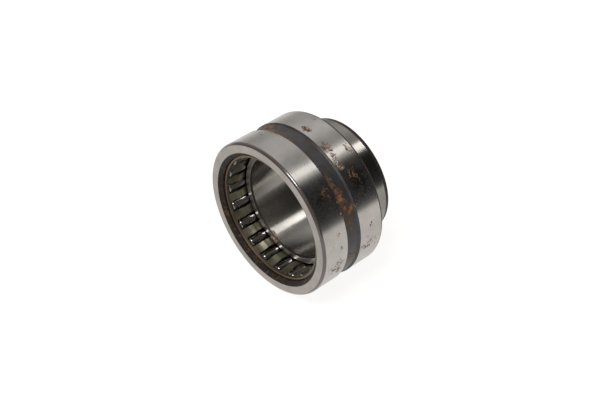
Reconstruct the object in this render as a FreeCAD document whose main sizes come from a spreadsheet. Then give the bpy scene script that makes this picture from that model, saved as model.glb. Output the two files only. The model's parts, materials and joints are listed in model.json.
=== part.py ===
import FreeCAD, Part
import os
import Sketcher
from FreeCAD import Placement, Rotation, Vector

# A needle roller bearing with machined rings: an outer ring with two ribs, a pressed window cage,
# a set of needle rollers and a plain inner ring that is pushed part of the way out at the back.
# The bearing axis is +Y, the front face looks along -Y, and the origin is the centre of the
# outer ring. Every ring is a section in the YZ plane turned about Y.

# name, value in millimetres unless the note says otherwise, note
SIZES = (
    ("outer_diameter", 42.0, "housing seat"),
    ("bore_diameter", 28.0, "shaft seat"),
    ("ring_width", 20.0, "width of both rings"),
    ("inner_raceway", 32.0, "diameter under the rollers"),
    ("roller_count", 20, "number of rollers"),
    ("roller_diameter", 3.0, "needle roller"),
    ("roller_length", 15.8, "needle roller, over its ends"),
    ("roller_corner", 0.5, "radius of the rounded ends"),
    ("radial_play", 0.02, "gap between a roller and each raceway"),
    ("end_play", 0.1, "gap between a roller and each rib"),
    ("first_roller_angle", 13.5, "degrees from +Z towards +X"),
    ("inner_ring_shift", 7.2, "how far the inner ring is pushed towards the back"),
    ("rib_bore", 34.6, "bore of the outer ring's ribs"),
    ("face_bore", 36.7, "bore of the ground end faces, where the rib chamfer starts"),
    ("rib_chamfer_depth", 0.85, "axial depth of the rib chamfer"),
    ("seat_chamfer_height", 0.55, "radial size of the outside chamfer"),
    ("seat_chamfer_length", 0.75, "axial size of the outside chamfer"),
    ("edge_radius", 0.2, "softening of the outer ring's chamfer edges"),
    ("groove_width", 4.4, "lubrication groove at its mouth"),
    ("groove_depth", 0.4, "lubrication groove, with 45 degree walls"),
    ("oil_hole", 2.0, "diameter of the hole in the groove"),
    ("oil_hole_angle", 235.0, "degrees from +Z towards +X"),
    ("bore_chamfer_height", 0.25, "radial size of the inner ring's bore chamfer"),
    ("bore_chamfer_length", 0.5, "axial size of the inner ring's bore chamfer"),
    ("lead_in_height", 0.32, "radial size of the inner ring's outside lead-in"),
    ("lead_in_length", 1.2, "axial size of the inner ring's outside lead-in"),
    ("cage_width", 17.4, "over the side rings"),
    ("cage_bore", 33.0, "inside of the side rings and bar ends"),
    ("cage_crown", 37.4, "outside diameter of the bars' middle"),
    ("cage_sheet", 0.55, "sheet thickness"),
    ("side_ring_diameter", 34.3, "outside of the turned-out side rings"),
    ("side_ring_width", 0.7, "axial thickness of a side ring"),
    ("bar_bend", 2.6, "distance from the middle to where a bar bends outwards"),
    ("bar_slope", 40.0, "degrees, how steeply the bar climbs to its crown"),
    ("pocket_width", 3.12, "pocket beside the bars' middle, clear of the roller"),
    ("pocket_mouth", 2.9, "pocket beside the bar ends, narrower than the roller to hold it in"),
    ("pocket_step", 4.8, "distance from the middle to where the pocket narrows"),
)

HALF_WIDTH = "Sizes.ring_width / 2"
PITCH_RADIUS = "((Sizes.inner_raceway + Sizes.roller_diameter) / 2 + Sizes.radial_play)"
OUTER_RACEWAY_RADIUS = f"({PITCH_RADIUS} + Sizes.roller_diameter / 2 + Sizes.radial_play)"
POCKET_HALF_LENGTH = "(Sizes.roller_length / 2 + Sizes.end_play)"
LENGTH_TOLERANCE = 1e-4
SMALLEST_CUT = 0.01


def add_sheet(doc):
    """The driving dimensions, one aliased number in each row."""
    sheet = doc.addObject("Spreadsheet::Sheet", "Sizes")
    for row, (alias, value, note) in enumerate(SIZES, start=1):
        sheet.set(f"A{row}", alias)
        sheet.set(f"B{row}", str(value))
        sheet.setAlias(f"B{row}", alias)
        sheet.set(f"C{row}", note)
    doc.recompute()
    return sheet


def add_body(doc, label):
    body = doc.addObject("PartDesign::Body", label)
    body.Label = label
    return body


def origin_feature(body, role):
    return next(f for f in body.Origin.OriginFeatures if f.Role == role)


def add_sketch(body, name, plane):
    sketch = body.newObject("Sketcher::SketchObject", name)
    sketch.AttachmentSupport = [(origin_feature(body, plane), "")]
    sketch.MapMode = "FlatFace"
    return sketch


def value_of(owner, expression):
    """An expression of the sheet as a plain number."""
    return float(owner.evalExpression(expression))


def draw_outline(sketch, corners):
    """A closed outline through corners whose two coordinates are expressions of the sheet."""
    points = [Vector(value_of(sketch, x), value_of(sketch, y), 0) for x, y in corners]
    following = points[1:] + points[:1]
    sketch.addGeometry([Part.LineSegment(a, b) for a, b in zip(points, following)])
    count = len(points)
    for index in range(count):
        sketch.addConstraint(
            Sketcher.Constraint("Coincident", index, 2, (index + 1) % count, 1)
        )
    for index, corner in enumerate(corners):
        for kind, expression, value in zip(("DistanceX", "DistanceY"), corner, points[index]):
            number = sketch.addConstraint(Sketcher.Constraint(kind, index, 1, value))
            sketch.setExpression(f"Constraints[{number}]", expression)


def draw_circle(sketch, radius):
    """A circle of the given radius round the sketch's origin."""
    circle = Part.Circle(Vector(0, 0, 0), Vector(0, 0, 1), value_of(sketch, radius))
    index = sketch.addGeometry(circle)
    sketch.addConstraint(Sketcher.Constraint("Coincident", index, 3, -1, 1))
    number = sketch.addConstraint(Sketcher.Constraint("Radius", index, circle.Radius))
    sketch.setExpression(f"Constraints[{number}]", radius)


def with_mirror_image(front_half):
    """A section's front half and its mirror image behind the middle, as one closed run of corners."""
    back_half = [(f"-({axial})", radial) for axial, radial in reversed(front_half)]
    return front_half + back_half


def turn_about_axis(body, corners):
    """A ring whose section in the YZ plane runs through the corners (axial, radial)."""
    section = add_sketch(body, "Section", "YZ_Plane")
    draw_outline(section, corners)
    ring = body.newObject("PartDesign::Revolution", "Ring")
    ring.Profile = section
    ring.ReferenceAxis = (origin_feature(body, "Y_Axis"), [""])
    ring.Angle = 360
    body.Document.recompute()
    return ring


def cut_outwards(body, name, sketch):
    """Cut a sketch that lies on the bearing axis straight out through one side of the ring."""
    before = body.Shape.Volume
    cut = body.newObject("PartDesign::Pocket", name)
    cut.Profile = sketch
    cut.Type = "ThroughAll"
    cut.Reversed = True
    body.Document.recompute()
    if body.Shape.Volume > before - SMALLEST_CUT:
        raise RuntimeError(f"{body.Label}: {name} removes nothing")
    return cut


def round_edges(body, base, name, circles, radius):
    """Round the circular edges given as (axial, radial) expressions, in front of and behind the middle."""
    wanted = [(value_of(body, axial), value_of(body, radial)) for axial, radial in circles]
    names = []
    for number, edge in enumerate(base.Shape.Edges, start=1):
        if not isinstance(edge.Curve, Part.Circle):
            continue
        here = (abs(edge.Curve.Center.y), edge.Curve.Radius)
        if any(max(abs(a - b) for a, b in zip(here, there)) < LENGTH_TOLERANCE for there in wanted):
            names.append(f"Edge{number}")
    fillet = body.newObject("PartDesign::Fillet", name)
    fillet.Base = (base, names)
    fillet.setExpression("Radius", radius)
    body.Document.recompute()
    return fillet


def make_outer_ring(doc):
    """Outer ring: ribs at both ends, outside chamfers, lubrication groove and one oil hole."""
    body = add_body(doc, "outer_ring")
    seat = "Sizes.outer_diameter / 2"
    rib_edge = (f"{HALF_WIDTH} - Sizes.rib_chamfer_depth", "Sizes.rib_bore / 2")
    face_inner_edge = (HALF_WIDTH, "Sizes.face_bore / 2")
    face_outer_edge = (HALF_WIDTH, f"{seat} - Sizes.seat_chamfer_height")
    seat_edge = (f"{HALF_WIDTH} - Sizes.seat_chamfer_length", seat)
    front_half = [
        (f"-{POCKET_HALF_LENGTH}", OUTER_RACEWAY_RADIUS),
        (f"-{POCKET_HALF_LENGTH}", "Sizes.rib_bore / 2"),
        *[(f"-({axial})", radial) for axial, radial in (rib_edge, face_inner_edge)],
        *[(f"-({axial})", radial) for axial, radial in (face_outer_edge, seat_edge)],
        ("-Sizes.groove_width / 2", seat),
        ("Sizes.groove_depth - Sizes.groove_width / 2", f"{seat} - Sizes.groove_depth"),
    ]
    ring = turn_about_axis(body, with_mirror_image(front_half))
    soft_edges = (rib_edge, face_inner_edge, face_outer_edge, seat_edge)
    round_edges(body, ring, "SoftEdges", soft_edges, "Sizes.edge_radius")
    hole = add_sketch(body, "OilHoleCircle", "XY_Plane")
    angle = value_of(body, "Sizes.oil_hole_angle")
    hole.AttachmentOffset = Placement(Vector(), Rotation(Vector(0, 1, 0), angle))
    draw_circle(hole, "Sizes.oil_hole / 2")
    cut_outwards(body, "OilHole", hole)
    return body


def make_inner_ring(doc):
    """Inner ring: a plain tube with a lead-in for the rollers and a chamfered bore."""
    body = add_body(doc, "inner_ring")
    bore = "Sizes.bore_diameter / 2"
    raceway = "Sizes.inner_raceway / 2"
    front_half = [
        (f"Sizes.bore_chamfer_length - {HALF_WIDTH}", bore),
        (f"-{HALF_WIDTH}", f"{bore} + Sizes.bore_chamfer_height"),
        (f"-{HALF_WIDTH}", f"{raceway} - Sizes.lead_in_height"),
        (f"Sizes.lead_in_length - {HALF_WIDTH}", raceway),
    ]
    turn_about_axis(body, with_mirror_image(front_half))
    body.setExpression("Placement.Base.y", "Sizes.inner_ring_shift")
    return body


def cage_corners():
    """The cage's M-shaped section: side rings, straight bar ends and a raised crown in the middle."""
    end = "-Sizes.cage_width / 2"
    bore = "Sizes.cage_bore / 2"
    crown = "Sizes.cage_crown / 2"
    back_of_sheet = f"({bore} + Sizes.cage_sheet)"
    climb = f"({crown} - {back_of_sheet}) / tan(Sizes.bar_slope * 1 deg)"
    bend_inside = "Sizes.cage_sheet * tan(Sizes.bar_slope * 0.5 deg)"
    outside = [
        (end, "Sizes.side_ring_diameter / 2"),
        (f"{end} + Sizes.side_ring_width", "Sizes.side_ring_diameter / 2"),
        (f"{end} + Sizes.side_ring_width", back_of_sheet),
        ("-Sizes.bar_bend", back_of_sheet),
        (f"{climb} - Sizes.bar_bend", crown),
    ]
    inside = [
        (f"{bend_inside} + {climb} - Sizes.bar_bend", f"{crown} - Sizes.cage_sheet"),
        (f"{bend_inside} - Sizes.bar_bend", bore),
        (end, bore),
    ]
    mirrored_outside = [(f"-({axial})", radial) for axial, radial in reversed(outside)]
    mirrored_inside = [(f"-({axial})", radial) for axial, radial in reversed(inside)]
    return outside + mirrored_outside + mirrored_inside + inside


def make_cage(doc):
    """Cage: the M-section ring with one stepped pocket cut through it for each roller."""
    body = add_body(doc, "cage")
    turn_about_axis(body, cage_corners())
    mouth = "Sizes.pocket_mouth / 2"
    middle = "Sizes.pocket_width / 2"
    right_side = [
        (mouth, f"-{POCKET_HALF_LENGTH}"),
        (mouth, "-Sizes.pocket_step"),
        (middle, "-Sizes.pocket_step"),
        (middle, "Sizes.pocket_step"),
        (mouth, "Sizes.pocket_step"),
        (mouth, POCKET_HALF_LENGTH),
    ]
    left_side = [(f"-{across}", along) for across, along in reversed(right_side)]
    window = add_sketch(body, "PocketOutline", "XY_Plane")
    draw_outline(window, right_side + left_side)
    pocket = cut_outwards(body, "Pocket", window)
    pattern = body.newObject("PartDesign::PolarPattern", "Pockets")
    pattern.Originals = [pocket]
    pattern.Axis = (origin_feature(body, "Y_Axis"), [""])
    pattern.Angle = 360
    pattern.setExpression("Occurrences", "Sizes.roller_count")
    body.Tip = pattern
    body.Placement = Placement(
        Vector(), Rotation(Vector(0, 1, 0), value_of(body, "Sizes.first_roller_angle"))
    )
    return body


def make_roller(doc, index):
    """One needle roller, rounded at both ends, at its place on the pitch circle."""
    body = add_body(doc, f"roller_{index + 1:02d}")
    section = add_sketch(body, "Circle", "XZ_Plane")
    draw_circle(section, "Sizes.roller_diameter / 2")
    rod = body.newObject("PartDesign::Pad", "Rod")
    rod.Profile = section
    rod.SideType = "Symmetric"
    rod.setExpression("Length", "Sizes.roller_length")
    doc.recompute()
    rim = ("Sizes.roller_length / 2", "Sizes.roller_diameter / 2")
    round_edges(body, rod, "RoundedEnds", (rim,), "Sizes.roller_corner")
    angle = f"(Sizes.first_roller_angle + {index} * 360 / Sizes.roller_count) * 1 deg"
    body.setExpression("Placement.Base.x", f"{PITCH_RADIUS} * sin({angle})")
    body.setExpression("Placement.Base.z", f"{PITCH_RADIUS} * cos({angle})")
    return body


def check_document(doc, pieces):
    """Stop on any failed feature and on any piece that isn't one valid solid."""
    for feature in doc.Objects:
        if {"Invalid", "Error"} & set(feature.State):
            raise RuntimeError(f"{feature.Name} failed: {feature.State}")
    for piece in pieces:
        shape = piece.Shape
        if shape.isNull() or not shape.isValid() or len(shape.Solids) != 1:
            raise RuntimeError(f"{piece.Label} is not one valid solid")


def export_pieces(pieces):
    os.makedirs("parts", exist_ok=True)
    for piece in pieces:
        piece.Shape.exportStep(f"parts/{piece.Label}.step")
        box = piece.Shape.BoundBox
        low = f"({box.XMin:.2f}, {box.YMin:.2f}, {box.ZMin:.2f})"
        high = f"({box.XMax:.2f}, {box.YMax:.2f}, {box.ZMax:.2f})"
        print(f"{piece.Label}: {piece.Shape.Volume:.1f} mm3, {low} to {high}")


def main():
    doc = FreeCAD.newDocument("NeedleRollerBearing")
    sheet = add_sheet(doc)
    pieces = [make_outer_ring(doc), make_inner_ring(doc), make_cage(doc)]
    pieces += [make_roller(doc, index) for index in range(int(sheet.roller_count))]
    doc.recompute()
    check_document(doc, pieces)
    export_pieces(pieces)


main()
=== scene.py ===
import json
import math

import bmesh
import bpy
from mathutils import Matrix, Vector

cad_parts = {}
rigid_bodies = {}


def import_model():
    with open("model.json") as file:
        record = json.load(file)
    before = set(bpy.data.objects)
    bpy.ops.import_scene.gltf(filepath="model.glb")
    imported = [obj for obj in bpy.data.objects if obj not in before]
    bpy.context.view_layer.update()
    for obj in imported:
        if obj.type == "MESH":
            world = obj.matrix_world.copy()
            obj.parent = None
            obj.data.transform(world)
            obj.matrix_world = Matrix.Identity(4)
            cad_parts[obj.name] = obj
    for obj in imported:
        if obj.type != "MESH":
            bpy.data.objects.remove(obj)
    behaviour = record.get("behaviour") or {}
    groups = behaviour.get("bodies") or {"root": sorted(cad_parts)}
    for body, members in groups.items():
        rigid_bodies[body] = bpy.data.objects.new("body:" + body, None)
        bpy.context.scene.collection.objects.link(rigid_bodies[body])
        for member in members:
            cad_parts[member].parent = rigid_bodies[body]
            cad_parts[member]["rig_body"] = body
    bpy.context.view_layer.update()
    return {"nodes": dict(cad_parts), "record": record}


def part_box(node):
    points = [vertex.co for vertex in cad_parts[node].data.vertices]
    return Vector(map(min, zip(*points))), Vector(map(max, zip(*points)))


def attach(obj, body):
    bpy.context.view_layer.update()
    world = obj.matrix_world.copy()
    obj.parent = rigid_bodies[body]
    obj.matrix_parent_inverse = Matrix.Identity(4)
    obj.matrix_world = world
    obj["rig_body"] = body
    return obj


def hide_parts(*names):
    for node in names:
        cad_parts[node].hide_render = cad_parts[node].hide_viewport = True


# A needle roller bearing lying on its outside. The axis is +Y, the front looks along -Y and +Z is
# up. Lengths are in millimetres until a mesh is written, and angles round the axis are measured
# from +Z towards +X.

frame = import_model()

MM = 0.001
MOUNTS = {mount["name"]: mount for mount in frame["record"]["mounts"]}
ROLLERS = sorted(name for name in frame["nodes"] if name.startswith("roller_"))


def corner(node, which):
    """The lowest (0) or highest (1) corner of a CAD node, in millimetres."""
    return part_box(node)[which] / MM


def placed(name, data):
    """A new object in the scene that holds a mesh, a light or a camera."""
    thing = bpy.data.objects.new(name, data)
    bpy.context.scene.collection.objects.link(thing)
    return thing


def keep_modified(piece):
    """Make the result of a piece's modifiers its own mesh, smooth all over."""
    evaluated = piece.evaluated_get(bpy.context.evaluated_depsgraph_get())
    mesh = bpy.data.meshes.new_from_object(evaluated)
    piece.modifiers.clear()
    piece.data = mesh
    mesh.polygons.foreach_set("use_smooth", [True] * len(mesh.polygons))


# ---------------------------------------------------------------------------------------------
# Sizes, in millimetres
# ---------------------------------------------------------------------------------------------

SEAT = MOUNTS["housing_seat"]["dims"]["r_mm"]
BORE = MOUNTS["shaft_bore"]["dims"]["r_mm"]
HALF_WIDTH = round(corner("outer_ring", 1).y, 3)
INNER_FRONT = round(corner("inner_ring", 0).y, 3)
INNER_BACK = round(corner("inner_ring", 1).y, 3)
INNER_RACEWAY = 16.0

ROLLER_RADIUS = 1.5
ROLLER_HALF_LENGTH = 7.9
ROLLER_CORNER = 0.5
ROLLER_CENTRE = 0.02      # radius of the innermost row on an end face
RADIAL_PLAY = 0.02        # between a roller and each raceway
END_PLAY = 0.1            # between a roller and each rib
OUTER_RACEWAY = INNER_RACEWAY + 2 * (ROLLER_RADIUS + RADIAL_PLAY)
ROLLER_SPACE = ROLLER_HALF_LENGTH + END_PLAY  # from the middle of the outer ring to a rib

RIB_BORE = 17.3
FACE_BORE = 18.35
RIB_CHAMFER_DEPTH = 0.85
SEAT_CHAMFER_HEIGHT = 0.55
SEAT_CHAMFER_LENGTH = 0.75
WORN_RIDGE = (0.34, 0.14)  # where the chamfer's rubbed ridge is: behind the face, under the seat
GROOVE_HALF_WIDTH = 2.2
GROOVE_DEPTH = 0.4

SOFT_ROUNDING = 0.6       # ridges and lead-ins without a sharp edge
EDGE_ROUNDING = 0.2
FACE_ROUNDING = 0.15      # between the inner ring's faces and its lead-ins
BORE_ROUNDING = 0.1
CRISP_ROUNDING = 0.06     # corners of the groove and of the roller space

OIL_HOLE_RADIUS = 1.0
OIL_HOLE_ANGLE = 235.0
OIL_HOLE_FLARE = 0.25     # deburring at the mouth of the oil hole
OIL_HOLE_COLUMNS = 40

BORE_CHAMFER = (0.5, 0.25)  # the inner ring's edges: length and height
LEAD_IN = (1.2, 0.32)

CAGE_HALF_WIDTH = 8.7
CAGE_BORE = 16.5
CAGE_CROWN = 18.7
CAGE_SHEET = 0.55
CAGE_LIP = 0.1            # how far the side rings flare outwards
SIDE_RING_BLEND = 0.1     # over which the bars take on the side rings' colour
BAR_BEND = 2.6            # from the middle of the cage to where the bars turn outwards
BAR_SLOPE = math.radians(40)
BAR_DIP = 0.42            # how far the bars dip inwards where the pockets narrow
BAR_RISE = -0.16          # how far they have risen again where they turn outwards
BAR_SHOULDER = (2.3, 1.3)  # where they start to dip and are under way, outside POCKET_STEP
POCKET_WIDTH = 3.12       # near the middle of the cage
POCKET_MOUTH = 2.9        # near the side rings
POCKET_STEP = 4.8         # from the middle of the cage to where the pockets narrow
POCKET_HALF_LENGTH = ROLLER_SPACE
POCKET_CORNER = 0.3
POCKET_END_ROWS = (0.0, 0.02, 0.08, 0.18, POCKET_CORNER)  # how far rows are from a pocket's end
PRESSED_EDGE = 0.07       # rounding of the punched edges

# How finely the pieces are divided
RING_COLUMNS = 384
RING_ROWS_APART = 0.4
ROLLER_COLUMNS = 72
ROLLER_ROWS_APART = 1.6
CAGE_ROWS_APART = 0.35
POCKET_COLUMNS = 6
BAR_COLUMNS = 8
ARC_STEP = 15             # degrees between the rows of a rounded corner
BEND_STEPS = 5            # rows in a bend of the cage's sheet
CAGE_COLUMNS = (POCKET_COLUMNS + BAR_COLUMNS) * len(ROLLERS)


# ---------------------------------------------------------------------------------------------
# Turned shapes
# ---------------------------------------------------------------------------------------------

def polar(angle, along, radius):
    """The point at an angle round the bearing axis, in millimetres."""
    return Vector((radius * math.sin(angle), along, radius * math.cos(angle)))


def fillet(before, here, after, rounding):
    """Start, end and centre of the arc that rounds off the corner here, in the section's plane."""
    middle = Vector(here[:2])
    back = (Vector(before[:2]) - middle).normalized()
    forth = (Vector(after[:2]) - middle).normalized()
    half = back.angle(forth) / 2
    reach = rounding / math.tan(half)
    centre = middle + (back + forth).normalized() * (rounding / math.sin(half))
    return middle + back * reach, middle + forth * reach, centre


def rounded_section(corners, rows_apart=RING_ROWS_APART):
    """Rows (along, radius, normal, finish) of a closed section.

    Each corner is (along, radius, rounding, finish), where the finish is that of the run from
    this corner to the next. Corners go round the section with the material on their right.
    """
    count = len(corners)
    arcs = [
        fillet(corners[index - 1], corners[index], corners[(index + 1) % count], corners[index][2])
        for index in range(count)
    ]
    rows = []
    for index, (start, end, centre) in enumerate(arcs):
        rounding, finish = corners[index][2:]
        run = arcs[(index + 1) % count][0] - end
        first = outward((start - arcs[index - 1][1]).normalized())
        last = outward(run.normalized())
        turn = first.angle_signed(last)
        towards_run = math.copysign(rounding, turn)
        steps = max(2, round(abs(math.degrees(turn)) / ARC_STEP))
        for step in range(steps + 1):
            share = step / steps
            normal = turned(first, turn * share)
            point = centre + normal * towards_run
            rows.append((*point, normal, corners[index - 1][3] if share < 0.5 else finish))
        parts = max(1, math.ceil(run.length / rows_apart))
        for part in range(1, parts):
            rows.append((*(end + run * (part / parts)), last, finish))
    return rows


def outward(direction):
    """The normal of a run that has the material on its right."""
    return Vector((-direction.y, direction.x))


def turned(normal, angle):
    """A plane vector turned clockwise by an angle, as angle_signed counts it."""
    c, s = math.cos(angle), math.sin(angle)
    return Vector((normal.x * c + normal.y * s, -normal.x * s + normal.y * c))


def lathe(name, rows, columns, finishes, axis_at=Vector((0, 0, 0))):
    """A closed ring turned about an axis along Y through axis_at, with exact normals."""
    vertices, faces, slots, normals = [], [], [], []
    for along, radius, normal, _ in rows:
        for column in range(columns):
            angle = 2 * math.pi * column / columns
            vertices.append((axis_at + polar(angle, along, radius)) * MM)
            normals.append(polar(angle, normal.x, normal.y))
    count = len(rows)
    for row in range(count):
        following = (row + 1) % count
        for column in range(columns):
            beside = (column + 1) % columns
            faces.append((row * columns + column, row * columns + beside,
                          following * columns + beside, following * columns + column))
            slots.append(finishes.index(rows[row][3]))
    mesh = bpy.data.meshes.new(name)
    mesh.from_pydata(vertices, [], faces)
    mesh.polygons.foreach_set("material_index", slots)
    mesh.polygons.foreach_set("use_smooth", [True] * len(faces))
    mesh.normals_split_custom_set_from_vertices(normals)
    mesh.update()
    return placed(name, mesh)


def mirrored(front_half):
    """A section's front half, then the same corners behind the middle in the opposite order.

    A run's finish belongs to the corner that starts it, so behind the middle it moves by one.
    """
    back_half = []
    for index in range(len(front_half) - 1, -1, -1):
        along, radius, rounding, finish = front_half[index]
        run = front_half[index - 1][3] if index else finish
        back_half.append((-along, radius, rounding, run))
    return front_half + back_half


# ---------------------------------------------------------------------------------------------
# Node materials
# ---------------------------------------------------------------------------------------------

class Nodes:
    """Short calls that add nodes to a material's or a world's node tree."""

    def __init__(self, owner):
        owner.use_nodes = True
        self.tree = owner.node_tree

    def add(self, kind, **settings):
        node = self.tree.nodes.new(kind)
        for key, value in settings.items():
            setattr(node, key, value)
        return node

    def feed(self, node, socket, value):
        """Link an output to a socket, or set the socket to a plain value."""
        if isinstance(value, bpy.types.NodeSocket):
            self.tree.links.new(value, node.inputs[socket])
        else:
            node.inputs[socket].default_value = value

    def math(self, operation, *values, clamp=False):
        node = self.add("ShaderNodeMath", operation=operation, use_clamp=clamp)
        for index, value in enumerate(values):
            self.feed(node, index, value)
        return node.outputs[0]

    def step(self, value, low, high, bottom=0.0, top=1.0):
        """Value mapped smoothly from low..high to bottom..top."""
        node = self.add("ShaderNodeMapRange", interpolation_type="SMOOTHSTEP")
        for socket, number in zip(("Value", "From Min", "From Max", "To Min", "To Max"),
                                  (value, low, high, bottom, top)):
            self.feed(node, socket, number)
        return node.outputs["Result"]

    def mix(self, share, first, second):
        """The first colour where share is nought, the second where it is one."""
        node = self.add("ShaderNodeMix", data_type="RGBA")
        self.feed(node, "Factor", share)
        for socket, colour in ((6, first), (7, second)):
            value = (*colour, 1.0) if isinstance(colour, tuple) else colour
            self.feed(node, socket, value)
        return node.outputs[2]

    def ramp(self, value, stops):
        """Colours by value, from stops of (value, colour)."""
        node = self.add("ShaderNodeValToRGB")
        self.feed(node, "Fac", value)
        elements = node.color_ramp.elements
        while len(elements) < len(stops):
            elements.new(0.5)
        for element, (position, colour) in zip(elements, stops):
            element.position = position
            element.color = (*colour, 1.0)
        return node.outputs["Color"]


class Shader(Nodes):
    """A material with one Principled shader."""

    def __init__(self, name, **fixed):
        self.material = bpy.data.materials.new(name)
        super().__init__(self.material)
        self.surface = self.tree.nodes["Principled BSDF"]
        self.place = self.add("ShaderNodeTexCoord").outputs["Object"]
        self.set(**fixed)

    def scaled(self, across, along):
        """Object coordinates in cycles per millimetre, across the axis and along it."""
        node = self.add("ShaderNodeMapping")
        self.feed(node, "Vector", self.place)
        self.feed(node, "Scale", (across / MM, along / MM, across / MM))
        return node.outputs[0]

    def noise(self, across, along=None, detail=3.0, roughness=0.55, distortion=0.0, seed=0.0):
        """Noise of so many cycles per millimetre across the axis and along it."""
        node = self.add("ShaderNodeTexNoise", noise_dimensions="4D")
        self.feed(node, "Vector", self.scaled(across, across if along is None else along))
        self.feed(node, "W", seed)
        self.feed(node, "Scale", 1.0)
        self.feed(node, "Detail", detail)
        self.feed(node, "Roughness", roughness)
        self.feed(node, "Distortion", distortion)
        return node.outputs["Fac"]

    def attribute(self, name):
        return self.add("ShaderNodeAttribute", attribute_name=name).outputs["Fac"]

    def bump(self, height, distance, normal=None):
        """Relief of a depth in millimetres, on top of another relief."""
        node = self.add("ShaderNodeBump")
        self.feed(node, "Height", height)
        self.feed(node, "Distance", distance * MM)
        if normal is not None:
            self.feed(node, "Normal", normal)
        return node.outputs["Normal"]

    def set(self, **sockets):
        """Feed the shader's sockets, with _ in their names for a space."""
        for socket, value in sockets.items():
            self.feed(self.surface, socket.replace("_", " "), value)

    def grain_along_axis(self, amount):
        """Grinding lines run round the axis, so highlights spread along it."""
        tangent = self.add("ShaderNodeTangent", direction_type="RADIAL", axis="Y")
        quarter_turn = 0.25
        self.set(Tangent=tangent.outputs[0], Anisotropic=amount, Anisotropic_Rotation=quarter_turn)


# Colours, from dark to light where a finish has two or more
STEEL = ((0.375, 0.352, 0.325), (0.440, 0.415, 0.385))
STEEL_DIRT = (0.20, 0.185, 0.165)
RACEWAY_STEEL = ((0.215, 0.200, 0.182), (0.262, 0.245, 0.225))
BORE_STEEL = ((0.310, 0.292, 0.265), (0.360, 0.342, 0.315))
FACE_STEEL = ((0.290, 0.268, 0.242), (0.355, 0.328, 0.298))
LAPPED_STEEL = ((0.36, 0.34, 0.31), (0.46, 0.44, 0.41))
ROLLER_STEEL = ((0.165, 0.155, 0.155), (0.225, 0.215, 0.210))
SIDE_RING_BROWN = (0.150, 0.112, 0.085)
GREASE_BROWN = (0.060, 0.040, 0.030)
GRIME = (0.040, 0.021, 0.017)
RUST_FILM = (0.125, 0.074, 0.034)

# Stops of (noise value, colour)
CHARCOAL_STOPS = (
    (0.30, (0.030, 0.028, 0.027)),
    (0.52, (0.047, 0.046, 0.047)),
    (0.70, (0.056, 0.066, 0.074)),
)
BLACK_STOPS = (
    (0.36, (0.024, 0.010, 0.007)),
    (0.50, (0.011, 0.009, 0.007)),
    (0.70, (0.015, 0.014, 0.012)),
)
WORN_STOPS = (
    (0.34, (0.040, 0.018, 0.014)),
    (0.52, (0.040, 0.024, 0.020)),
    (0.70, (0.042, 0.036, 0.032)),
)
CAGE_STOPS = (
    (0.30, (0.165, 0.145, 0.098)),
    (0.50, (0.240, 0.223, 0.160)),
    (0.72, (0.310, 0.295, 0.225)),
)
RUST_STOPS = (
    (0.34, (0.028, 0.012, 0.007)),
    (0.45, (0.065, 0.024, 0.012)),
    (0.53, (0.130, 0.046, 0.019)),
    (0.61, (0.190, 0.112, 0.036)),
)

# Where the noises and the mesh's own strength, added up, start to show and show in full
GRIME_SHOWS = (1.75, 2.25)
FILM_SHOWS = (2.55, 3.00)
RUST_SHOWS = (2.82, 3.06)
GRIME_COVER = 0.85
FILM_COVER = 0.55
RUST_RELIEF = 0.06


def with_rust(shader, colour, roughness, metallic, relief):
    """Lay grime and rust over a finish, where the mesh's values and a fine noise say so."""
    patches = shader.noise(0.55, detail=5.0, roughness=0.72, distortion=0.8, seed=3.0)
    fine = shader.noise(1.5, detail=4.0, roughness=0.7, distortion=0.4, seed=5.0)
    grain = shader.math("MULTIPLY_ADD", patches, 2.0, shader.math("MULTIPLY", fine, 2.4))
    dirty = shader.math("MULTIPLY_ADD", patches, 1.6, shader.attribute("grime"))
    dirty = shader.math("MULTIPLY_ADD", fine, 1.4, dirty)
    grime = shader.step(dirty, *GRIME_SHOWS, 0.0, GRIME_COVER)
    colour = shader.mix(grime, colour, GRIME)
    total = shader.math("ADD", shader.attribute("rust"), grain)
    film = shader.step(total, *FILM_SHOWS, 0.0, FILM_COVER)
    colour = shader.mix(film, colour, RUST_FILM)
    mask = shader.step(total, *RUST_SHOWS)
    hue = shader.noise(0.8, detail=4.0, roughness=0.7, seed=20.0)
    rust = shader.ramp(hue, RUST_STOPS)
    normal = shader.bump(shader.math("MULTIPLY", mask, fine), RUST_RELIEF, relief)
    dull = shader.math("MULTIPLY_ADD", grime, 0.2, roughness)
    bare = shader.math("MULTIPLY_ADD", mask, -metallic, metallic)
    shader.set(
        Base_Color=shader.mix(mask, colour, rust),
        Roughness=shader.math("MULTIPLY_ADD", mask, 0.5, dull, clamp=True),
        Metallic=bare,
        Normal=normal,
    )
    return shader.material


def cloudy(shader, clouds, low, high, colours):
    """A pair of colours, dark and light, mixed by a noise."""
    return shader.mix(shader.step(clouds, low, high), *colours)


def ground_steel(name, roughness, streak, colours):
    """Cylindrically ground steel: fine lines round the axis, faint dull patches."""
    shader = Shader(name)
    shader.grain_along_axis(1.0)
    lines = shader.noise(0.03, 9.0, detail=4.0, roughness=0.7, seed=1.0)
    clouds = shader.noise(0.16, detail=3.0, seed=2.0)
    dirt = shader.noise(0.9, detail=5.0, roughness=0.65, seed=4.0)
    dirt = shader.step(dirt, 0.60, 0.75, 0.0, 0.35)
    colour = shader.mix(dirt, cloudy(shader, clouds, 0.35, 0.65, colours), STEEL_DIRT)
    dull = shader.math("MULTIPLY_ADD", lines, 0.10, roughness - 0.05)
    dull = shader.math("MULTIPLY_ADD", dirt, 0.25, dull)
    return with_rust(shader, colour, dull, 1.0, shader.bump(lines, streak))


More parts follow.
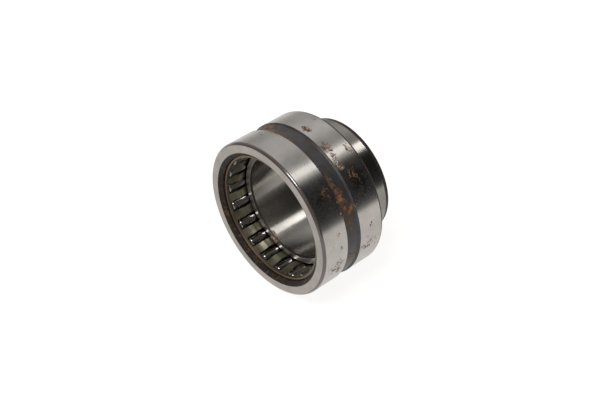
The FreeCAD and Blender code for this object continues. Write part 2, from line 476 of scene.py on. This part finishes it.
def face_steel(name):
    """Surface ground end faces, matte and finely speckled."""
    shader = Shader(name)
    clouds = shader.noise(0.22, detail=4.0, seed=6.0)
    colour = cloudy(shader, clouds, 0.3, 0.7, FACE_STEEL)
    speckle = shader.noise(5.0, detail=2.0, seed=7.0)
    dull = shader.math("MULTIPLY_ADD", speckle, 0.14, 0.22)
    return with_rust(shader, colour, dull, 1.0, shader.bump(speckle, 0.004))


def lapped_steel(name):
    """The inner ring's front face and front lead-in: fine lapped steel."""
    shader = Shader(name)
    clouds = shader.noise(0.3, detail=4.0, roughness=0.6, seed=18.0)
    colour = cloudy(shader, clouds, 0.3, 0.7, LAPPED_STEEL)
    speckle = shader.noise(4.0, detail=2.0, seed=19.0)
    dull = shader.math("MULTIPLY_ADD", speckle, 0.10, 0.25)
    return with_rust(shader, colour, dull, 1.0, shader.bump(speckle, 0.001))


def charcoal_steel(name):
    """Heat-blackened turned steel of the groove, greasy brown in places."""
    shader = Shader(name, Specular_IOR_Level=0.5)
    clouds = shader.noise(0.30, detail=4.0, roughness=0.6, seed=8.0)
    grease = shader.step(shader.noise(0.75, detail=3.0, seed=9.0), 0.46, 0.66, 0.0, 0.7)
    colour = shader.mix(grease, shader.ramp(clouds, CHARCOAL_STOPS), GREASE_BROWN)
    lines = shader.noise(0.05, 5.0, detail=3.0, seed=10.0)
    dull = shader.math("MULTIPLY_ADD", clouds, 0.20, 0.34)
    return with_rust(shader, colour, dull, 0.55, shader.bump(lines, 0.010))


def black_steel(name):
    """Black scale left on the ribs, bore edges and back chamfers, browned by old grease."""
    shader = Shader(name, Specular_IOR_Level=0.14)
    clouds = shader.noise(0.45, detail=4.0, roughness=0.6, seed=15.0)
    colour = shader.ramp(clouds, BLACK_STOPS)
    lines = shader.noise(0.05, 6.0, detail=3.0, seed=16.0)
    dull = shader.math("MULTIPLY_ADD", clouds, 0.20, 0.38)
    return with_rust(shader, colour, dull, 0.0, shader.bump(lines, 0.006))


def worn_steel(name):
    """The outer ring's front chamfer: dark brown scale, rubbed thin and shiny."""
    shader = Shader(name, IOR=1.9)
    clouds = shader.noise(0.35, detail=4.0, roughness=0.6, seed=17.0)
    colour = shader.ramp(clouds, WORN_STOPS)
    dull = shader.math("MULTIPLY_ADD", clouds, 0.14, 0.12)
    return with_rust(shader, colour, dull, 0.0, shader.bump(clouds, 0.004))


def cage_steel(name):
    """Pressed sheet, oiled: olive brown, satin, with drawing lines along the bars."""
    shader = Shader(name)
    clouds = shader.noise(0.35, detail=4.0, roughness=0.6, seed=11.0)
    side_ring = shader.attribute("side_ring")
    colour = shader.mix(side_ring, shader.ramp(clouds, CAGE_STOPS), SIDE_RING_BROWN)
    lines = shader.noise(3.0, 0.25, detail=3.0, seed=12.0)
    dull = shader.math("MULTIPLY_ADD", clouds, 0.16, 0.30)
    dull = shader.math("MULTIPLY_ADD", side_ring, 0.10, dull)
    return with_rust(shader, colour, dull, 0.92, shader.bump(lines, 0.010))


def roller_steel(name):
    """Lapped needle rollers: near mirror, with faint rings and an oil film's patches."""
    shader = Shader(name)
    shader.grain_along_axis(0.3)
    clouds = shader.noise(0.5, detail=3.0, seed=13.0)
    colour = cloudy(shader, clouds, 0.35, 0.7, ROLLER_STEEL)
    lines = shader.noise(0.05, 7.0, detail=3.0, seed=14.0)
    dull = shader.math("MULTIPLY_ADD", clouds, 0.08, 0.13)
    relief = shader.bump(lines, 0.0006)
    shader.set(Base_Color=colour, Roughness=dull, Metallic=1.0, Normal=relief)
    return shader.material


# ---------------------------------------------------------------------------------------------
# Rust and stains
# ---------------------------------------------------------------------------------------------

# Stains on the outside of the outer ring: angle, distance behind the front face as a share of
# the ring's width, half extent round the ring in degrees, half extent along it in millimetres,
# and strength.
OUTSIDE_STAINS = (
    (-33, 0.48, 9, 2.4, 0.84),
    (-16, 0.43, 9, 1.3, 0.80),
    (-3, 0.42, 6, 0.9, 0.64),
    (42, 0.43, 8, 1.0, 0.70),
    (53, 0.45, 7, 1.3, 0.76),
    (63, 0.50, 6, 2.2, 0.74),
    (72, 0.50, 6, 2.0, 0.50),
    (100, 0.50, 9, 2.0, 0.46),
    (-1, 0.69, 4, 1.0, 0.68),
    (19, 0.67, 5, 1.4, 0.82),
    (27, 0.67, 4, 1.1, 0.66),
    (35, 0.67, 4, 1.0, 0.72),
    (45, 0.77, 8, 2.4, 0.36),
    (-8, 0.92, 4, 0.6, 0.50),
    (27, 0.91, 5, 0.9, 0.72),
    (82, 0.79, 3, 0.7, 0.66),
    (-21, 0.28, 4, 0.6, 0.42),
    (46, 0.29, 7, 1.6, 0.44),
    (74, 0.26, 2.5, 0.7, 0.62),
    (86, 0.29, 2, 0.5, 0.60),
    (97, 0.75, 7, 3.0, 0.48),
    (103, 0.25, 7, 2.6, 0.48),
)

# Dark grime on the outer ring, in the same terms
OUTSIDE_GRIME = (
    (46, 0.22, 10, 3.6, 0.50),
    (48, 0.80, 11, 3.4, 0.62),
    (60, 0.50, 14, 2.0, 0.50),
    (-25, 0.50, 14, 1.6, 0.50),
)

OUTSIDE_FROM = SEAT - 1.0  # radius from which the outer ring's tables count
RUST_AT_MOST = 0.82

# The share of its strength that a blot has in its middle, and what it loses on the way to its
# half extent, with the square of the distance
BLOT_MIDDLE = 1.25
BLOT_FADE = 0.6

RIB_RUST = 0.28
CAGE_RUST = 0.18

# The rust spot on the inner ring's front face: angle, strength, degrees over which it would
# fall from one to nought, and the depth behind the face that it reaches
FACE_SPOT_ANGLE = -158
FACE_SPOT_STRENGTH = 0.85
FACE_SPOT_FALL = 18
FACE_SPOT_DEPTH = 1.0


def blots(angle, along, table):
    """The strength of a table's blots at a point on the outer ring."""
    strength = 0.0
    for centre, share, round_it, along_it, most in table:
        middle = (2 * share - 1) * HALF_WIDTH
        distance = math.hypot(angle_between(angle, centre) / round_it, (along - middle) / along_it)
        strength = max(strength, most * max(0.0, BLOT_MIDDLE - distance * distance * BLOT_FADE))
    return min(strength, 1.0)


def angle_between(first, second):
    """The turn from the second angle to the first, from -180 to 180 degrees."""
    return (first - second + 180) % 360 - 180


def outer_ring_rust(angle, along, radius):
    """Rust strength on the outer ring: stains outside and a little all over the ribs."""
    if radius < OUTSIDE_FROM:
        return RIB_RUST if radius < FACE_BORE and abs(along) > ROLLER_SPACE else 0.0
    return min(RUST_AT_MOST, blots(angle, along, OUTSIDE_STAINS))


def outer_ring_grime(angle, along, radius):
    """Grime on the outer ring's outside."""
    return blots(angle, along, OUTSIDE_GRIME) if radius > OUTSIDE_FROM else 0.0


def inner_ring_rust(angle, along, radius):
    """Rust strength on the inner ring: one spot on the front face."""
    if along > INNER_FRONT + FACE_SPOT_DEPTH:
        return 0.0
    away = abs(angle_between(angle, FACE_SPOT_ANGLE))
    return max(0.0, FACE_SPOT_STRENGTH - away / FACE_SPOT_FALL)


def paint(piece, name, strength_at):
    """Store strength_at(angle in degrees, along, radius) on every vertex."""
    values = []
    for vertex in piece.data.vertices:
        x, y, z = vertex.co / MM
        values.append(strength_at(math.degrees(math.atan2(x, z)), y, math.hypot(x, z)))
    attribute = piece.data.attributes.new(name, "FLOAT", "POINT")
    attribute.data.foreach_set("value", values)


# ---------------------------------------------------------------------------------------------
# Pieces
# ---------------------------------------------------------------------------------------------

FINISHES = ("seat", "face", "charcoal", "black", "raceway", "bore", "lapped", "worn")


def oil_hole_cutter():
    """The oil hole's solid: a round bar along its radius, wider at both mouths."""
    flare = OIL_HOLE_FLARE
    mouth_in, mouth_out = OUTER_RACEWAY, SEAT - GROOVE_DEPTH
    wide = OIL_HOLE_RADIUS + flare
    profile = (
        (mouth_in - flare, wide),
        (mouth_in, OIL_HOLE_RADIUS + flare / 2),
        (mouth_in + flare / 2, OIL_HOLE_RADIUS),
        (mouth_out - flare, OIL_HOLE_RADIUS),
        (mouth_out - flare / 2, OIL_HOLE_RADIUS + flare / 8),
        (mouth_out, OIL_HOLE_RADIUS + flare / 2),
        (mouth_out + flare, wide + flare / 2),
    )
    angle = math.radians(OIL_HOLE_ANGLE)
    outwards, sideways = polar(angle, 0, 1), polar(angle + math.pi / 2, 0, 1)
    along_axis = Vector((0, 1, 0))
    columns = OIL_HOLE_COLUMNS
    vertices = []
    for distance, radius in profile:
        for column in range(columns):
            turn = 2 * math.pi * column / columns
            offset = sideways * math.cos(turn) + along_axis * math.sin(turn)
            vertices.append((outwards * distance + offset * radius) * MM)
    faces = []
    for start in range(0, (len(profile) - 1) * columns, columns):
        for column in range(columns):
            beside = (column + 1) % columns
            faces.append((start + column, start + beside,
                          start + columns + beside, start + columns + column))
    last = (len(profile) - 1) * columns
    faces.append(tuple(range(columns))[::-1])
    faces.append(tuple(range(last, last + columns)))
    mesh = bpy.data.meshes.new("oil_hole")
    mesh.from_pydata(vertices, [], faces)
    mesh.update()
    shape = bmesh.new()
    shape.from_mesh(mesh)
    bmesh.ops.recalc_face_normals(shape, faces=shape.faces)
    shape.to_mesh(mesh)
    shape.free()
    mesh.polygons.foreach_set("material_index", [FINISHES.index("charcoal")] * len(mesh.polygons))
    return placed("oil_hole", mesh)


def drill_oil_hole(ring, rows):
    """Cut the oil hole, then set the turned surfaces' exact normals again."""
    cutter = oil_hole_cutter()
    cut = ring.modifiers.new("oil_hole", "BOOLEAN")
    cut.operation = "DIFFERENCE"
    cut.solver = "EXACT"
    cut.object = cutter
    keep_modified(ring)
    bpy.data.objects.remove(cutter)
    mesh = ring.data
    section_normals = {(round(row[0], 3), round(row[1], 3)): row[2] for row in rows}
    drilled = polar(math.radians(OIL_HOLE_ANGLE), 0, 1)
    normals = []
    for polygon in mesh.polygons:
        centre = polygon.center / MM
        height = centre.dot(drilled)
        off_hole = (centre - drilled * height).length
        in_hole = height > 0 and off_hole < OIL_HOLE_RADIUS + OIL_HOLE_FLARE
        for index in polygon.vertices:
            place = mesh.vertices[index].co / MM
            normals.append((0, 0, 0) if in_hole else turned_normal(place, section_normals))
    mesh.normals_split_custom_set(normals)


def turned_normal(place, section_normals):
    """The normal of a turned surface at a point, straight out or in where no row passes."""
    radius = math.hypot(place.x, place.z)
    normal = section_normals.get((round(place.y, 3), round(radius, 3)))
    if normal is None:
        normal = Vector((0, 1 if radius > (OUTER_RACEWAY + SEAT) / 2 else -1))
    return polar(math.atan2(place.x, place.z), normal.x, normal.y)


def make_outer_ring(materials):
    """The outer ring, whose back chamfers kept the black scale that wore off the front ones."""
    face = -HALF_WIDTH
    rib_edge = RIB_CHAMFER_DEPTH - HALF_WIDTH
    land_edge = SEAT_CHAMFER_LENGTH - HALF_WIDTH
    groove_floor = GROOVE_DEPTH - GROOVE_HALF_WIDTH
    front_half = [
        (-ROLLER_SPACE, OUTER_RACEWAY, CRISP_ROUNDING, "black"),
        (-ROLLER_SPACE, RIB_BORE, CRISP_ROUNDING, "black"),
        (rib_edge, RIB_BORE, EDGE_ROUNDING, "black"),
        (face, FACE_BORE, EDGE_ROUNDING, "face"),
        (face, SEAT - SEAT_CHAMFER_HEIGHT, EDGE_ROUNDING, "worn"),
        (face + WORN_RIDGE[0], SEAT - WORN_RIDGE[1], SOFT_ROUNDING, "worn"),
        (land_edge, SEAT, EDGE_ROUNDING, "seat"),
        (-GROOVE_HALF_WIDTH, SEAT, CRISP_ROUNDING, "charcoal"),
        (groove_floor, SEAT - GROOVE_DEPTH, EDGE_ROUNDING, "charcoal"),
    ]
    section = [
        (along, radius, rounding, "black" if finish == "worn" and along > 0 else finish)
        for along, radius, rounding, finish in mirrored(front_half)
    ]
    section[-1] = (*section[-1][:3], "raceway")
    rows = rounded_section(section)
    ring = lathe("outer_ring_turned", rows, RING_COLUMNS, FINISHES)
    drill_oil_hole(ring, rows)
    paint(ring, "rust", outer_ring_rust)
    paint(ring, "grime", outer_ring_grime)
    finish_piece(ring, materials, "outer_ring")


def make_inner_ring(materials):
    """The inner ring: ground outside and in the bore, black on the back lead-in and bore edges."""
    bore_length, bore_height = BORE_CHAMFER
    lead_length, lead_height = LEAD_IN
    front, back = INNER_FRONT, INNER_BACK
    section = [
        (front, BORE + bore_height, BORE_ROUNDING, "lapped"),
        (front, INNER_RACEWAY - lead_height, FACE_ROUNDING, "lapped"),
        (front + lead_length, INNER_RACEWAY, SOFT_ROUNDING, "raceway"),
        (back - lead_length, INNER_RACEWAY, SOFT_ROUNDING, "black"),
        (back, INNER_RACEWAY - lead_height, FACE_ROUNDING, "face"),
        (back, BORE + bore_height, BORE_ROUNDING, "black"),
        (back - bore_length, BORE, BORE_ROUNDING, "bore"),
        (front + bore_length, BORE, BORE_ROUNDING, "black"),
    ]
    ring = lathe("inner_ring_turned", rounded_section(section), RING_COLUMNS, FINISHES)
    paint(ring, "rust", inner_ring_rust)
    finish_piece(ring, materials, "inner_ring")


def make_roller(node, material):
    """A needle roller on its own axis, with rounded rims and flat end faces."""
    middle = (corner(node, 0) + corner(node, 1)) / 2
    end, centre_rounding = ROLLER_HALF_LENGTH, ROLLER_CENTRE / 4
    section = [
        (-end, ROLLER_CENTRE, centre_rounding, "steel"),
        (-end, ROLLER_RADIUS, ROLLER_CORNER, "steel"),
        (end, ROLLER_RADIUS, ROLLER_CORNER, "steel"),
        (end, ROLLER_CENTRE, centre_rounding, "steel"),
    ]
    rows = rounded_section(section, ROLLER_ROWS_APART)
    piece = lathe(node + "_lapped", rows, ROLLER_COLUMNS, ("steel",), axis_at=middle)
    finish_piece(piece, (material,), node)


def rounded_path(corners):
    """Points (along, radius) of an open run through corners (along, radius, rounding)."""
    points = [Vector(corners[0][:2])]
    for before, here, after in zip(corners, corners[1:], corners[2:]):
        start, end, centre = fillet(before, here, after, here[2])
        turn = (start - centre).angle_signed(end - centre)
        points += [centre + turned(start - centre, turn * step / BEND_STEPS)
                   for step in range(BEND_STEPS + 1)]
    points.append(Vector(corners[-1][:2]))
    spaced = [points[0]]
    for point in points[1:]:
        run = point - spaced[-1]
        parts = max(1, math.ceil(run.length / CAGE_ROWS_APART))
        spaced += [spaced[-1] + run * (part / parts) for part in range(1, parts + 1)]
    return spaced


def pocket_half_width(along):
    """Half the width of a roller pocket, with rounded corners at its ends."""
    share = min(1.0, max(0.0, (abs(along) - POCKET_STEP) / PRESSED_EDGE + 0.5))
    width = POCKET_WIDTH + (POCKET_MOUTH - POCKET_WIDTH) * share
    inside = max(0.0, POCKET_HALF_LENGTH - abs(along))
    if inside < POCKET_CORNER:
        width -= 2 * (POCKET_CORNER - math.sqrt(POCKET_CORNER ** 2 - (POCKET_CORNER - inside) ** 2))
    return width / 2


def cage_sheet_rows():
    """The middle of the cage's sheet from front to back, with rows where the pockets end."""
    middle = CAGE_BORE + CAGE_SHEET / 2
    crown = CAGE_CROWN - CAGE_SHEET / 2
    bend = middle + BAR_RISE
    climb = (crown - bend) / math.tan(BAR_SLOPE)
    half = [
        (CAGE_HALF_WIDTH, middle + CAGE_LIP, 0),
        (POCKET_HALF_LENGTH - 0.2, middle + CAGE_LIP / 2, 1.0),
        (POCKET_STEP + BAR_SHOULDER[0], middle + CAGE_LIP, 3.0),
        (POCKET_STEP + BAR_SHOULDER[1], middle - CAGE_LIP / 2, 4.0),
        (POCKET_STEP, middle - BAR_DIP, 0.2),
        (BAR_BEND, bend, 0.4),
        (BAR_BEND - climb, crown, 0.4),
    ]
    front = [(-along, radius, rounding) for along, radius, rounding in half]
    rows = rounded_path(front + half[::-1])
    for distance in POCKET_END_ROWS:
        for side in (-1, 1):
            along = side * (POCKET_HALF_LENGTH - distance)
            index = next(i for i, row in enumerate(rows) if row.x > along)
            before, after = rows[index - 1], rows[index]
            share = (along - before.x) / (after.x - before.x)
            if 0.01 < share < 0.99:  # else a row is there already
                rows.insert(index, before.lerp(after, share))
    return rows


def cage_vertices(rows):
    """The sheet's points, row by row: the columns of a pocket, then those of a bar, and so on."""
    low, high = corner(ROLLERS[0], 0), corner(ROLLERS[0], 1)
    first = math.atan2(low.x + high.x, low.z + high.z)
    pitch = 2 * math.pi / len(ROLLERS)
    vertices = []
    for row in rows:
        edge = math.asin(pocket_half_width(row.x) / row.y)
        for column in range(CAGE_COLUMNS):
            roller, cell = divmod(column, POCKET_COLUMNS + BAR_COLUMNS)
            if cell <= POCKET_COLUMNS:
                angle = -edge + 2 * edge * cell / POCKET_COLUMNS
            else:
                angle = edge + (pitch - 2 * edge) * (cell - POCKET_COLUMNS) / BAR_COLUMNS
            vertices.append(polar(first + roller * pitch + angle, row.x, row.y) * MM)
    return vertices


def cage_faces(rows):
    """The sheet's faces, without those of the pockets."""
    faces = []
    for index in range(len(rows) - 1):
        middle = (rows[index].x + rows[index + 1].x) / 2
        start, following = index * CAGE_COLUMNS, (index + 1) * CAGE_COLUMNS
        for column in range(CAGE_COLUMNS):
            in_pocket = column % (POCKET_COLUMNS + BAR_COLUMNS) < POCKET_COLUMNS
            if in_pocket and abs(middle) < POCKET_HALF_LENGTH:
                continue
            beside = (column + 1) % CAGE_COLUMNS
            faces.append((start + column, start + beside, following + beside, following + column))
    return faces


def make_cage(material):
    """The pressed cage: a bent sheet ring with a punched pocket for each roller."""
    rows = cage_sheet_rows()
    mesh = bpy.data.meshes.new("cage_sheet")
    mesh.from_pydata(cage_vertices(rows), [], cage_faces(rows))
    sheet = bmesh.new()
    sheet.from_mesh(mesh)
    loose = [vertex for vertex in sheet.verts if not vertex.link_faces]
    bmesh.ops.delete(sheet, geom=loose, context="VERTS")
    sheet.to_mesh(mesh)
    sheet.free()
    piece = placed("cage_pressed", mesh)
    thicken_and_soften(piece)
    paint(piece, "side_ring", cage_side_ring)
    paint(piece, "rust", cage_rust)
    finish_piece(piece, (material,), "cage")


def thicken_and_soften(piece):
    """Give a sheet its thickness and round its punched edges, and keep the result as the mesh."""
    solidify = piece.modifiers.new("thickness", "SOLIDIFY")
    solidify.thickness = CAGE_SHEET * MM
    solidify.offset = 0
    solidify.use_even_offset = True
    bevel = piece.modifiers.new("edges", "BEVEL")
    bevel.width = PRESSED_EDGE * MM
    bevel.segments = 2
    bevel.limit_method = "ANGLE"
    bevel.angle_limit = math.radians(50)
    weighted = piece.modifiers.new("normals", "WEIGHTED_NORMAL")
    weighted.keep_sharp = True
    keep_modified(piece)


def cage_side_ring(angle, along, radius):
    """One on the side rings, which are browner than the bars, and nought on the bars."""
    return min(1.0, max(0.0, (abs(along) - POCKET_HALF_LENGTH) / SIDE_RING_BLEND + 0.5))


def cage_rust(angle, along, radius):
    """A little rust on the side rings."""
    return CAGE_RUST * cage_side_ring(angle, along, radius)


def finish_piece(piece, materials, node):
    """Give a piece its materials, and let it stand in for a CAD node on that node's body."""
    for material in materials:
        piece.data.materials.append(material)
    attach(piece, frame["nodes"][node]["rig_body"])
    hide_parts(node)


# ---------------------------------------------------------------------------------------------
# Studio
# ---------------------------------------------------------------------------------------------

CAMERA_AZIMUTH = math.radians(47.39)
CAMERA_ELEVATION = math.radians(40.24)
CAMERA_LENS = 73.8
# Where the middle of the front face stands in the camera's view, in outside radii
CAMERA_DISTANCE = 14.43
FACE_LEFT_OF_CENTRE = 0.404
FACE_BELOW_CENTRE = 0.245

# The floor, in metres, and its own light
FLOOR_RADIUS = 0.32
FLOOR_SIDES = 96
FLOOR_GREY = (0.12, 0.12, 0.12, 1.0)
FLOOR_GLOW = (1.0, 0.99, 0.975, 1.0)
FLOOR_GLOW_STRENGTH = 0.92

# Brightness of the room round the bearing axis, behind the object: angle from straight up
# towards +X, and radiance. The right side is a dark wall.
ROOM = (
    (-100, 0.74), (-80, 0.50), (-60, 0.84), (-40, 0.96), (-28, 0.92), (-14, 0.56), (2, 0.50),
    (16, 0.20), (24, 0.05), (30, 0.02), (93, 0.02), (100, 0.8),
)
ROOM_IN_FRONT = 0.30
FRONT_BEGINS = (0.05, -0.25)  # the share of a direction along +Y where the front fades in

# Soft boxes a metre away: angle round the axis, tilt towards the back, width, length (all in
# degrees, the length in the axis's plane) and radiance
BACK_BOX = (10.0, 33.0, 9.0, 18.0, 1.6)
FRONT_BOX = (12.0, -27.0, 17.0, 24.0, 25.0)
INNER_BOX = (12.0, 33.0, 14.0, 22.0, 4.5)


def make_camera():
    """A long lens that looks down on the front face from the right."""
    a, e = CAMERA_AZIMUTH, CAMERA_ELEVATION
    back = Vector((math.sin(a) * math.cos(e), -math.cos(a) * math.cos(e), math.sin(e)))
    right = Vector((math.cos(a), math.sin(a), 0))
    up = back.cross(right)
    face = Vector((0, -HALF_WIDTH, 0)) * MM
    aim = face + (right * FACE_LEFT_OF_CENTRE + up * FACE_BELOW_CENTRE) * SEAT * MM
    data = bpy.data.cameras.new("camera")
    data.lens = CAMERA_LENS
    data.clip_start = 0.01
    camera = placed("camera", data)
    camera.location = aim + back * CAMERA_DISTANCE * SEAT * MM
    camera.rotation_mode = "QUATERNION"
    camera.rotation_quaternion = (-back).to_track_quat("-Z", "Y")
    bpy.context.scene.camera = camera


def heading(angle, tilt):
    """The direction at an angle round the bearing axis, tilted towards the back by tilt degrees."""
    angle, tilt = math.radians(angle), math.radians(tilt)
    return polar(angle, math.sin(tilt), math.cos(tilt))


def soft_box(name, angle, tilt, across, along, radiance):
    """A soft box that faces the object, as the tables above give it."""
    away = heading(angle, tilt)
    upright = (Vector((0, 1, 0)) - away * away.y).normalized()
    facing = Matrix((upright.cross(away), upright, away)).transposed()
    data = bpy.data.lights.new(name, "AREA")
    data.shape = "RECTANGLE"
    data.size = 2 * math.tan(math.radians(across / 2))
    data.size_y = 2 * math.tan(math.radians(along / 2))
    data.energy = radiance * math.pi * data.size * data.size_y
    light = placed(name, data)
    light.location = away
    light.rotation_mode = "QUATERNION"
    light.rotation_quaternion = facing.to_quaternion()
    light.visible_camera = False
    return light


def light_only(light, name):
    """Let a light reach only the pieces whose names start with name."""
    lit = bpy.data.collections.new(f"{light.name}_pieces")
    for piece in bpy.data.objects:
        if piece.name.startswith(name):
            lit.objects.link(piece)
    light.light_linking.receiver_collection = lit


def make_floor():
    """Pale matte floor with a share of its own light, so that it stays almost white."""
    level = corner("outer_ring", 0).z * MM
    turns = [2 * math.pi * step / FLOOR_SIDES for step in range(FLOOR_SIDES)]
    rim = [(FLOOR_RADIUS * math.cos(t), FLOOR_RADIUS * math.sin(t), level) for t in turns]
    mesh = bpy.data.meshes.new("floor")
    mesh.from_pydata(rim, [], [tuple(range(FLOOR_SIDES))])
    finish = bpy.data.materials.new("floor_paint")
    finish.use_nodes = True
    surface = finish.node_tree.nodes["Principled BSDF"]
    surface.inputs["Base Color"].default_value = FLOOR_GREY
    surface.inputs["Roughness"].default_value = 0.9
    surface.inputs["Specular IOR Level"].default_value = 0.0
    surface.inputs["Emission Color"].default_value = FLOOR_GLOW
    surface.inputs["Emission Strength"].default_value = FLOOR_GLOW_STRENGTH
    mesh.materials.append(finish)
    placed("floor", mesh)


def grey(level):
    """A neutral colour."""
    return (level, level, level)


def make_world():
    """A studio room that is brighter on the left than on the right, and white to the camera."""
    world = bpy.data.worlds.new("studio")
    nodes = Nodes(world)
    split = nodes.add("ShaderNodeSeparateXYZ")
    nodes.feed(split, 0, nodes.add("ShaderNodeTexCoord").outputs["Generated"])
    turn = nodes.math("ARCTAN2", split.outputs["X"], split.outputs["Z"])
    turn = nodes.math("MULTIPLY_ADD", turn, 1 / (2 * math.pi), 0.5)
    behind = nodes.ramp(turn, [(angle / 360 + 0.5, grey(radiance)) for angle, radiance in ROOM])
    front = nodes.step(split.outputs["Y"], *FRONT_BEGINS)
    room = nodes.mix(front, behind, grey(ROOM_IN_FRONT))
    seen = nodes.add("ShaderNodeLightPath").outputs["Is Camera Ray"]
    background = nodes.tree.nodes["Background"]
    nodes.feed(background, "Color", nodes.mix(seen, room, grey(1.0)))
    bpy.context.scene.world = world


def make_studio():
    """Room, floor, camera and lights. It comes last, because one light looks for its pieces."""
    make_world()
    make_floor()
    make_camera()
    soft_box("back_box", *BACK_BOX)
    soft_box("front_box", *FRONT_BOX)
    light_only(soft_box("inner_box", *INNER_BOX), "inner_ring")
    bpy.context.scene.view_settings.view_transform = "Standard"


# ---------------------------------------------------------------------------------------------
# Scene
# ---------------------------------------------------------------------------------------------

# In the order of FINISHES
ring_materials = (
    ground_steel("seat_steel", 0.25, 0.0012, STEEL),
    face_steel("end_face_steel"),
    charcoal_steel("charcoal_steel"),
    black_steel("black_steel"),
    ground_steel("raceway_steel", 0.25, 0.0006, RACEWAY_STEEL),
    ground_steel("bore_steel", 0.25, 0.0002, BORE_STEEL),
    lapped_steel("lapped_steel"),
    worn_steel("worn_steel"),
)
make_outer_ring(ring_materials)
make_inner_ring(ring_materials)

rollers_finish = roller_steel("roller_finish")
for roller in ROLLERS:
    make_roller(roller, rollers_finish)

make_cage(cage_steel("cage_finish"))
make_studio()
